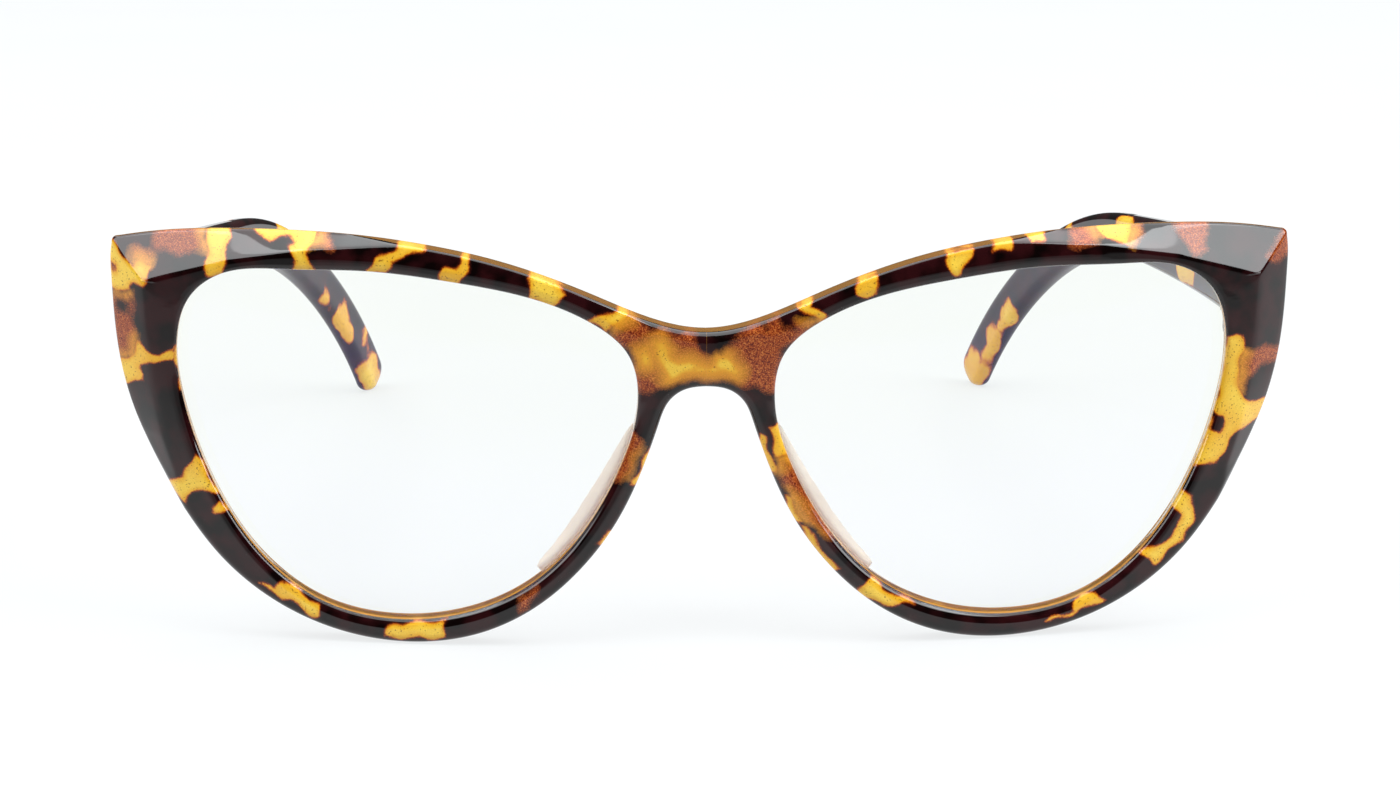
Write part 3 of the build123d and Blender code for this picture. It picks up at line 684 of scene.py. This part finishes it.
def make_temple(name, side, spots, material):
    """A temple: a rounded bar that narrows to the ear bend and ends in a round tip."""
    sweep = spline([row[:2] for row in TEMPLE_SWEEP], steps=30)
    rings, marks = [], []
    for run in temple_runs():
        depth, height, angle = temple_middle(min(run, TEMPLE_RUN))
        past = max(run - TEMPLE_RUN, 0)
        depth += past * cos(angle)
        height -= past * sin(angle)
        half_v = np.interp(run, [0, TEMPLE_STRAIGHT, TEMPLE_RUN],
                           [BUTT_HEIGHT / 2, TIP_HEIGHT / 2, TIP_HEIGHT / 2])
        squeeze = sqrt(max(1 - (past / TIP_REACH)**2, 0))
        butt = min(1.0, 0.9 + 0.1 * run / BUTT_ROUND_RUN)
        ring = []
        half_u = column(TEMPLE_SWEEP, depth, 2) / 2 * (0.35 + 0.65 * squeeze)
        loop = rounded_rectangle(half_u * butt, half_v * max(squeeze, 0.05) * butt, EDGE_ROUND)
        for u, v in loop:
            y = depth + v * sin(angle)
            x = np.interp(y, sweep[:, 0], sweep[:, 1]) + u
            if run < 1.5:
                y = max(y, JOINT_DEPTH + 0.06)
            ring.append((side * x, FRONT_Y + y, height + v * cos(angle)))
            marks.append((TEMPLE_RUN + TIP_REACH - run, u, v))
        rings.append(ring)
    points, faces = loft(rings)
    temple = mesh_object(name, boxed(points), faces, material)
    vertex_field(temple, "amber", spot_field(marks, spots))
    vertex_field(temple, "brown", np.full(len(marks), OUTSIDE))
    vertex_field(temple, "wall", np.zeros(len(marks)))
    tidy_mesh(temple, merge=0)
    return temple


def make_lens(name, side, material):
    """A curved plate whose bevelled edge is sunk a little way into the rim's plain inner wall."""
    opening = spline(OPENING, closed=True, steps=12)
    following = np.roll(opening, -1, axis=0) - np.roll(opening, 1, axis=0)
    outward = np.stack([following[:, 1], -following[:, 0]], -1) / np.hypot(*following.T)[:, None]
    centre = np.array(LENS_CENTRE)
    section = [(0.1, LENS_FRONT), (0.4, 2.05), (0.4, 2.75), (0.1, LENS_BACK)]
    shares = [0.12, 0.3, 0.48, 0.64, 0.78, 0.88, 0.95]
    rings = []
    for share in shares:
        rings.append((centre + share * (opening - centre), LENS_FRONT))
    for growth, depth in section:
        rings.append((opening + growth * outward, depth))
    for share in shares[::-1]:
        rings.append((centre + share * (opening - centre), LENS_BACK))
    solid = []
    for flat, depth in rings:
        solid.append([(side * x, FRONT_Y + wrap_depth(x) + depth, z) for x, z in flat])
    points, faces = loft(solid)
    lens = mesh_object(name, points, faces, material)
    tidy_mesh(lens)
    keep_crisp(lens, 20)
    return lens


def make_pad(name, node, material):
    """A soft-edged copy of a nose pad."""
    copy = bpy.data.objects.new(name, node.data.copy())
    bpy.context.scene.collection.objects.link(copy)
    remesh = copy.modifiers.new("cells", "REMESH")
    remesh.mode = "VOXEL"
    remesh.voxel_size = PAD_CELL * MM
    soften = copy.modifiers.new("soften", "SMOOTH")
    soften.factor = 0.5
    soften.iterations = PAD_SOFTENING
    bpy.context.view_layer.update()
    done = bpy.data.meshes.new_from_object(copy.evaluated_get(bpy.context.evaluated_depsgraph_get()))
    copy.modifiers.clear()
    copy.data = done
    done.materials.clear()
    done.materials.append(material)
    done.shade_smooth()
    return copy


# ---------------------------------------------------------------- materials
class Nodes:
    """Short calls for building one material's nodes."""

    def __init__(self, name):
        self.material = bpy.data.materials.new(name)
        self.material.use_nodes = True
        self.tree = self.material.node_tree
        self.tree.nodes.clear()
        self.shader = self.add("ShaderNodeBsdfPrincipled")
        output = self.add("ShaderNodeOutputMaterial")
        self.link(self.shader.outputs[0], output.inputs["Surface"])

    def add(self, kind, **settings):
        node = self.tree.nodes.new(kind)
        for key, value in settings.items():
            setattr(node, key, value)
        return node

    def link(self, source, target):
        self.tree.links.new(source, target)

    def put(self, value, socket):
        if isinstance(value, bpy.types.NodeSocket):
            self.link(value, socket)
        else:
            socket.default_value = value

    def math(self, operation, first, second=0.0, clamp=False):
        node = self.add("ShaderNodeMath", operation=operation, use_clamp=clamp)
        self.put(first, node.inputs[0])
        self.put(second, node.inputs[1])
        return node.outputs[0]

    def place(self, size_mm, offset=(0, 0, 0), stretch=(1, 1, 1)):
        """Object coordinates counted in cells of this size."""
        where = self.add("ShaderNodeTexCoord").outputs["Object"]
        mapping = self.add("ShaderNodeMapping")
        self.link(where, mapping.inputs["Vector"])
        mapping.inputs["Location"].default_value = offset
        mapping.inputs["Scale"].default_value = [s / (size_mm * MM) for s in stretch]
        return mapping.outputs[0]

    def noise(self, size_mm, detail=2.0, rough=0.5, offset=(0, 0, 0), stretch=(1, 1, 1)):
        node = self.add("ShaderNodeTexNoise")
        self.link(self.place(size_mm, offset, stretch), node.inputs["Vector"])
        node.inputs["Scale"].default_value = 1.0
        node.inputs["Detail"].default_value = detail
        node.inputs["Roughness"].default_value = rough
        return node.outputs["Fac"]

    def spread(self, value, low, high, to_low=0.0, to_high=1.0):
        node = self.add("ShaderNodeMapRange", clamp=True)
        self.put(value, node.inputs["Value"])
        for key, number in (("From Min", low), ("From Max", high), ("To Min", to_low), ("To Max", to_high)):
            node.inputs[key].default_value = number
        return node.outputs[0]

    def ramp(self, value, stops):
        node = self.add("ShaderNodeValToRGB")
        self.put(value, node.inputs[0])
        ramp = node.color_ramp
        while len(ramp.elements) > 1:
            ramp.elements.remove(ramp.elements[-1])
        for i, (where, colour) in enumerate(stops):
            stop = ramp.elements[0] if i == 0 else ramp.elements.new(where)
            stop.position = where
            stop.color = (*colour, 1)
        return node.outputs[0]

    def mix(self, share, first, second):
        node = self.add("ShaderNodeMix", data_type="RGBA")
        self.put(share, node.inputs[0])
        for value, socket in ((first, node.inputs[6]), (second, node.inputs[7])):
            self.put(value if isinstance(value, bpy.types.NodeSocket) else (*value, 1), socket)
        return node.outputs[2]

    def field(self, name):
        return self.add("ShaderNodeAttribute", attribute_name=name).outputs["Fac"]

    def bump(self, height, strength, distance_mm):
        node = self.add("ShaderNodeBump")
        self.link(height, node.inputs["Height"])
        node.inputs["Strength"].default_value = strength
        node.inputs["Distance"].default_value = distance_mm * MM
        self.link(node.outputs[0], self.shader.inputs["Normal"])

    def set(self, **values):
        for key, value in values.items():
            self.put(value, self.shader.inputs[key.replace("_", " ")])


BLACK = (0.0030, 0.0012, 0.0012)
MAROON = (0.030, 0.0040, 0.0025)
RUST = (0.19, 0.030, 0.004)
ORANGE = (0.52, 0.15, 0.010)
GOLD = (0.76, 0.40, 0.022)
PALE_GOLD = (0.84, 0.56, 0.060)
CLOUD = (0.026, 0.0040, 0.0050)
# The amber colour of the plastic's cut edge, made lighter as painted light. It lifts the shade that the rim
# walls lie in and stands in for light passing through the plastic.
WALL_DARK_LIFTED_BY_PAINTED_LIGHT = (0.66, 0.30, 0.06)
WALL_LIGHT_LIFTED_BY_PAINTED_LIGHT = (0.80, 0.48, 0.15)


def polish(n):
    """The finish that all the tortoiseshell plastic shares."""
    n.set(IOR=1.47, Coat_Weight=0.04, Coat_Roughness=0.03, Coat_IOR=1.5)
    n.set(Roughness=n.spread(n.noise(6, 3), 0.3, 0.7, 0.04, 0.09))
    n.bump(n.noise(2.4, 2), 0.04, 0.05)


def centred(n, value, size):
    """A noise value moved to swing this far either side of zero."""
    return n.math("MULTIPLY", n.math("SUBTRACT", value, 0.5), size)


def tortoiseshell(name, from_fields, wander=0.0):
    """Dark print with soft-edged amber windows, read from the mesh or grown from noise."""
    n = Nodes(name)
    wobble = n.math("ADD", centred(n, n.noise(1.3, 2), 0.5), centred(n, n.noise(0.2, 2), 0.3))
    if from_fields:
        amber = n.math("ADD", n.field("amber"), centred(n, n.noise(4.5, 1, 0.4, offset=(2, 8, 5)), wander))
    else:
        amber = centred(n, n.math("SUBTRACT", n.noise(7.5, 1.5, 0.4, offset=(3, 1, 7)), 0.06), 22.0)
    level = n.math("ADD", amber, wobble)
    body = n.ramp(n.spread(level, -1.2, 1.2), [
        (0.0, BLACK), (0.34, BLACK), (0.42, MAROON), (0.47, RUST), (0.515, ORANGE), (0.58, GOLD),
        (0.80, PALE_GOLD)])
    clouds = n.spread(n.noise(3.2, 2, 0.5, offset=(9, 2, 4)), 0.4, 0.62)
    in_dark = n.spread(level, -0.35, -0.15, 0.8, 0.0)
    body = n.mix(n.math("MULTIPLY", clouds, in_dark), body, CLOUD)
    warm = n.spread(n.noise(7, 1, 0.5, offset=(4, 4, 1)), 0.42, 0.62, 0.0, 0.6)
    body = n.mix(n.math("MULTIPLY", warm, n.spread(level, 0.1, 0.5)), body, (0.74, 0.34, 0.014))
    grain = n.noise(0.15, 2, 0.6)
    if from_fields:
        brown = n.spread(n.math("ADD", n.field("brown"), n.math("MULTIPLY", wobble, 1.6)), -0.45, 0.45)
        speckle = n.ramp(n.spread(grain, 0.36, 0.66), [
            (0.0, (0.08, 0.010, 0.005)), (0.35, (0.22, 0.035, 0.010)), (0.7, (0.38, 0.080, 0.018)),
            (1.0, (0.52, 0.17, 0.040))])
        speckle = n.mix(n.spread(level, -1.7, 0.5, 0.0, 0.85), speckle, (0.80, 0.36, 0.024))
        body = n.mix(n.math("MULTIPLY", brown, n.spread(level, 0.15, 0.65, 1.0, 0.0)), body, speckle)
    clear = n.spread(level, 0.1, 0.3)
    flecks = n.spread(n.noise(0.26, 1, 0.5, offset=(5, 5, 5)), 0.64, 0.70)
    body = n.mix(n.math("MULTIPLY", flecks, n.math("MULTIPLY", clear, 0.8)), body, (0.16, 0.05, 0.010))
    haze = n.math("MULTIPLY", n.spread(grain, 0.35, 0.65), n.math("MULTIPLY", clear, 0.22))
    body = n.mix(haze, body, (0.42, 0.16, 0.02))
    if from_fields:
        # Walls and the outer front edge take the clear amber edge colour, lightened as painted light that
        # lifts their shade and stands in for light through the plastic.
        side_wall_amber_and_glow = n.mix(n.spread(level, -0.5, 0.7), WALL_DARK_LIFTED_BY_PAINTED_LIGHT, WALL_LIGHT_LIFTED_BY_PAINTED_LIGHT)
        body = n.mix(n.math("MULTIPLY", n.field("wall"), 0.85), body, side_wall_amber_and_glow)
    n.set(Base_Color=body)
    polish(n)
    return n.material


def lens_glass():
    """Clear lens plastic whose surface reflection is tinted violet, like its coating."""
    n = Nodes("lens_glass")
    n.set(Base_Color=n.ramp(n.noise(30, 1), [(0.3, (0.930, 0.938, 0.942)), (0.7, (0.940, 0.945, 0.947))]))
    n.set(Transmission_Weight=1.0, IOR=1.5, Specular_IOR_Level=1.0)
    n.shader.inputs["Specular Tint"].default_value = (0.30, 0.20, 1.0, 1)
    n.set(Roughness=n.spread(n.noise(9, 2), 0.3, 0.7, 0.0, 0.012))
    return n.material


def pad_plastic():
    """Milky plastic. A little light of its own stands in for light that passes through it."""
    n = Nodes("pad_plastic")
    n.set(Base_Color=n.ramp(n.noise(7, 2), [(0.3, (0.93, 0.81, 0.68)), (0.7, (0.96, 0.87, 0.77))]))
    n.set(IOR=1.46, Coat_Weight=0.2, Coat_Roughness=0.12)
    n.set(Emission_Color=(0.95, 0.80, 0.66, 1), Emission_Strength=0.16)
    n.set(Roughness=n.spread(n.noise(2.5, 3), 0.3, 0.7, 0.3, 0.4))
    n.bump(n.noise(2.2, 1), 0.03, 0.03)
    return n.material


def metal(name, light, dark, grain):
    """Drawn or turned metal, with fine lines along one direction."""
    n = Nodes(name)
    lines = n.noise(0.5, 3, 0.6, stretch=grain)
    n.set(Base_Color=n.ramp(n.spread(lines, 0.3, 0.7), [(0.0, dark), (1.0, light)]), Metallic=1.0)
    n.set(Roughness=n.spread(n.noise(1.4, 3), 0.3, 0.7, 0.2, 0.36))
    n.bump(lines, 0.25, 0.02)
    return n.material


shell_front = tortoiseshell("tortoiseshell_front", True)
shell_temple = tortoiseshell("tortoiseshell_temples", True, 2.6)
shell_grown = tortoiseshell("tortoiseshell_end_pieces", False)
glass = lens_glass()
pad_soft = pad_plastic()
nickel = metal("nickel_silver", (0.80, 0.74, 0.60), (0.58, 0.52, 0.40), (1, 1, 6))
screw_steel = metal("screw_steel", (0.82, 0.80, 0.76), (0.60, 0.58, 0.55), (4, 4, 1))
wire_steel = metal("core_wire_steel", (0.78, 0.78, 0.80), (0.55, 0.55, 0.58), (6, 0.6, 6))

# ---------------------------------------------------------------- pieces
front = make_front(shell_front)
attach(front, "front")
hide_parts("front_frame")

# Amber spots on each temple: distance from the tip, half length, across, half width, up, half height
TEMPLE_SPOTS = {
    "left": [(1, 5, -1.0, 1.1, -1.5, 4), (10.5, 3.2, -1.2, 1.0, -2.8, 2.4), (20, 3.2, -1.5, 1.0, -2.8, 2.6),
             (33, 5, 1.6, 1.3, 1, 2.2), (46, 4, -1.6, 1.2, 0.5, 2.4), (57, 5, 1.7, 1.4, -1, 2.4),
             (70, 4, -1.8, 1.4, 2, 2.2), (74, 6, 1.8, 1.4, 2.2, 2.0), (88, 4, 1.9, 1.5, -1.6, 2.6),
             (97, 5, -1.9, 1.5, -1, 2.8), (102, 4, 1.9, 1.5, 3.2, 2.2), (112, 4.5, 1.9, 1.5, -1.5, 3.2),
             (118, 4, -1.9, 1.5, 2.5, 3.0), (124, 4, 1.9, 1.5, 2.8, 3.2)],
    "right": [(2, 8, -1.2, 1.1, -1.5, 4), (20, 5, -1.5, 1.0, -2.8, 2.6), (28, 2.4, -1.5, 0.9, -2.8, 2.4),
              (36, 5, 1.6, 1.3, 0.5, 2.2), (49, 4, -1.6, 1.2, 1.0, 2.4), (54, 5, 1.7, 1.4, -1.5, 2.0),
              (66, 4, 1.8, 1.4, 1.6, 2.2), (72, 5, -1.8, 1.4, -1.2, 2.4), (80, 5, 1.9, 1.5, -1.8, 2.4),
              (93, 5, 1.9, 1.5, 2.2, 2.6), (98, 4, -1.9, 1.5, 1.5, 2.8), (105, 4, 1.9, 1.5, -2.6, 2.6),
              (116, 5, 1.9, 1.5, 1.5, 3.4), (120, 4, -1.9, 1.5, -2, 3.0)],
}
SIDES = {"left": 1, "right": -1}
for name, side in SIDES.items():
    block = make_end_piece(f"{name}_end_piece", side, shell_grown)
    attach(block, "front")
    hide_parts("front_frame")

    temple = make_temple(f"{name}_temple_bar", side, TEMPLE_SPOTS[name], shell_temple)
    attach(temple, f"{name}_arm")
    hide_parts(f"{name}_temple")

    lens = make_lens(f"{name}_lens_plate", side, glass)
    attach(lens, "front")
    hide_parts(f"{name}_lens")

    pad = make_pad(f"{name}_soft_pad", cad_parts[f"{name}_nose_pad"], pad_soft)
    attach(pad, "front")
    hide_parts(f"{name}_nose_pad")

    for part, material in (("front_hinge_leaf", nickel), ("temple_hinge_leaf", nickel),
                           ("hinge_screw", screw_steel), ("core_wire", wire_steel)):
        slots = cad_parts[f"{name}_{part}"].data.materials
        slots.clear()
        slots.append(material)

# ---------------------------------------------------------------- floor, light and camera
FLOOR_FRONT, FLOOR_BACK, FLOOR_SIDE = -2.4, 2.4, 2.6
FLOOR_DROP = 0.05                  # mm below the glasses
GLOW_STRENGTH = 0.80
GLOW_ROWS = [                      # y in metres, share of the floor's own light there
    (FLOOR_FRONT, 0.12), (-0.236, 0.12), (-0.226, 0.4), (-0.18, 0.5), (-0.128, 1.0), (FLOOR_BACK, 1.0),
]


def make_floor():
    """A dim grey floor with light of its own, strong behind the glasses and weak in front of them."""
    n = Nodes("studio_floor")
    n.set(Base_Color=n.ramp(n.noise(60, 2), [(0.3, (0.105, 0.105, 0.105)), (0.7, (0.11, 0.11, 0.11))]))
    n.set(Roughness=0.9, Specular_IOR_Level=0.0, Emission_Color=(0.97, 0.99, 1.0, 1))
    n.set(Emission_Strength=n.math("MULTIPLY", n.field("glow"), GLOW_STRENGTH))
    spots = [(side * FLOOR_SIDE / MM, y / MM, -FLOOR_DROP) for y, _ in GLOW_ROWS for side in (-1, 1)]
    faces = [(2 * i, 2 * i + 1, 2 * i + 3, 2 * i + 2) for i in range(len(GLOW_ROWS) - 1)]
    floor = mesh_object("studio_floor", spots, faces, n.material)
    vertex_field(floor, "glow", np.repeat([glow for _, glow in GLOW_ROWS], 2))


LIGHT_COLOUR = (0.95, 0.985, 1.0)


def softbox(name, place, target, width, height, radiance):
    """A rectangular light at a place, turned to face a target; radiance is its brightness."""
    lamp = bpy.data.lights.new(name, "AREA")
    lamp.shape = "RECTANGLE"
    lamp.size = width
    lamp.size_y = height
    lamp.energy = radiance * pi * width * height
    lamp.color = LIGHT_COLOUR
    thing = bpy.data.objects.new(name, lamp)
    bpy.context.scene.collection.objects.link(thing)
    thing.location = place
    aim = Vector(target) - Vector(place)
    thing.rotation_euler = aim.to_track_quat("-Z", "Y").to_euler()


make_floor()
softbox("overhead", (0, 0.30, 1.1), (0, 0.30, 0), 1.8, 1.5, 3.6)
softbox("side_left", (0.70, -0.34, 0.62), (0, -0.05, 0.04), 0.55, 0.9, 7.6)
softbox("side_right", (-0.68, -0.36, 0.64), (0, -0.05, 0.04), 0.55, 0.9, 5.4)


WORLD_BASE = 0.05
# Direction, where the light begins and ends to rise along it, and what it reaches
WORLD_RISES = [("Z", 0.35, 0.95, 0.55), ("Y", 0.1, 0.7, 1.3)]


def studio_world():
    """A dim room: dark low in front of the glasses, paler overhead and behind them."""
    world = bpy.data.worlds.new("studio")
    bpy.context.scene.world = world
    world.use_nodes = True
    tree = world.node_tree
    direction = tree.nodes.new("ShaderNodeTexCoord")
    split = tree.nodes.new("ShaderNodeSeparateXYZ")
    tree.links.new(direction.outputs["Generated"], split.inputs[0])
    total = tree.nodes.new("ShaderNodeMath")
    total.operation = "ADD"
    for slot, (axis, low, high, top) in enumerate(WORLD_RISES):
        span = tree.nodes.new("ShaderNodeMapRange")
        tree.links.new(split.outputs[axis], span.inputs["Value"])
        span.inputs["From Min"].default_value = low
        span.inputs["From Max"].default_value = high
        span.inputs["To Max"].default_value = top
        tree.links.new(span.outputs[0], total.inputs[slot])
    base = tree.nodes.new("ShaderNodeMath")
    base.operation = "ADD"
    base.inputs[1].default_value = WORLD_BASE
    tree.links.new(total.outputs[0], base.inputs[0])
    tree.links.new(base.outputs[0], tree.nodes["Background"].inputs["Strength"])


studio_world()

CAMERA_TURN, CAMERA_RISE, CAMERA_AWAY = radians(2.03), radians(13.22), 0.42
CAMERA_LENS, CAMERA_SENSOR = 91, 36
CAMERA_TARGET = Vector((-0.00079, -0.07125, 0.0315))
lens_data = bpy.data.cameras.new("view")
lens_data.lens = CAMERA_LENS
lens_data.sensor_width = CAMERA_SENSOR
lens_data.clip_start = 0.01
camera = bpy.data.objects.new("view", lens_data)
bpy.context.scene.collection.objects.link(camera)
towards = Vector((-sin(CAMERA_TURN) * cos(CAMERA_RISE), -cos(CAMERA_TURN) * cos(CAMERA_RISE),
                  sin(CAMERA_RISE)))
camera.location = CAMERA_TARGET + CAMERA_AWAY * towards
camera.rotation_euler = (-towards).to_track_quat("-Z", "Y").to_euler()
bpy.context.scene.camera = camera
bpy.context.scene.view_settings.view_transform = "Standard"

bpy.context.view_layer.update()
